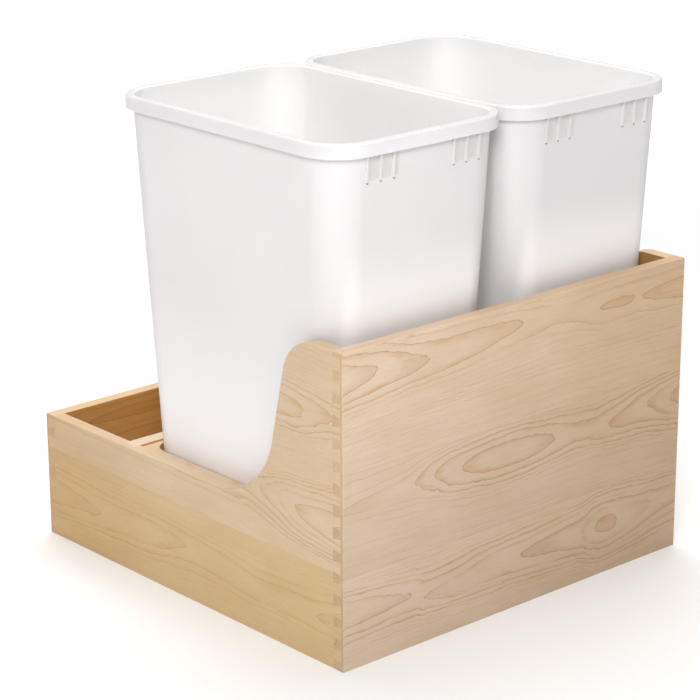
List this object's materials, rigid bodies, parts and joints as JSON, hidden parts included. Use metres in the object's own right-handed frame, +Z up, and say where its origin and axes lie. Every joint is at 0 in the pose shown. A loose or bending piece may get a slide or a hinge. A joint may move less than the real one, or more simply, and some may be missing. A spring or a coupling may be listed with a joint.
{
  "type": "pull-out waste drawer",
  "caption": "Dovetailed maple drawer box with scooped sides, a cut-out deck and a rear storage bay, carrying tall lift-out plastic waste bins side by side.",
  "frame": {"origin": "centre of the drawer box's footprint, level with its lower edges", "axes": "+Z up, -Y towards the user through the tall front panel, +X to the user's right when facing the front"},
  "size_m": [0.527, 0.5334, 0.565],
  "materials": {
    "maple": "clear satin lacquer",
    "maple_plywood": "clear satin lacquer",
    "zinc_steel": "zinc plated",
    "white_plastic": "satin moulded polypropylene"
  },
  "bodies": {
    "drawer_box": {"front_board_lower": "maple", "front_board_middle": "maple", "front_board_upper": "maple", "left_side_lower": "maple", "left_side_middle": "maple", "left_side_upper": "maple", "right_side_lower": "maple", "right_side_middle": "maple", "right_side_upper": "maple", "back_board_lower": "maple", "back_board_upper": "maple", "divider": "maple", "deck_cleat_left": "maple", "deck_cleat_right": "maple", "deck_cleat_front": "maple", "deck_cleat_rear": "maple", "bottom_panel": "maple_plywood", "deck": "maple_plywood", "cleat_screws": "zinc_steel", "deck_screws": "zinc_steel", "cleat_brads": "zinc_steel"},
    "left_bin": {"bin_left": "white_plastic"},
    "right_bin": {"bin_right": "white_plastic"}
  },
  "joints": [
    {"name": "left_bin_lift", "type": "slide", "parent": "drawer_box", "child": "left_bin", "axis": [0, 0, 1], "range_m": [0, 0.36]},
    {"name": "right_bin_lift", "type": "slide", "parent": "drawer_box", "child": "right_bin", "axis": [0, 0, 1], "range_m": [0, 0.36]}
  ]
}
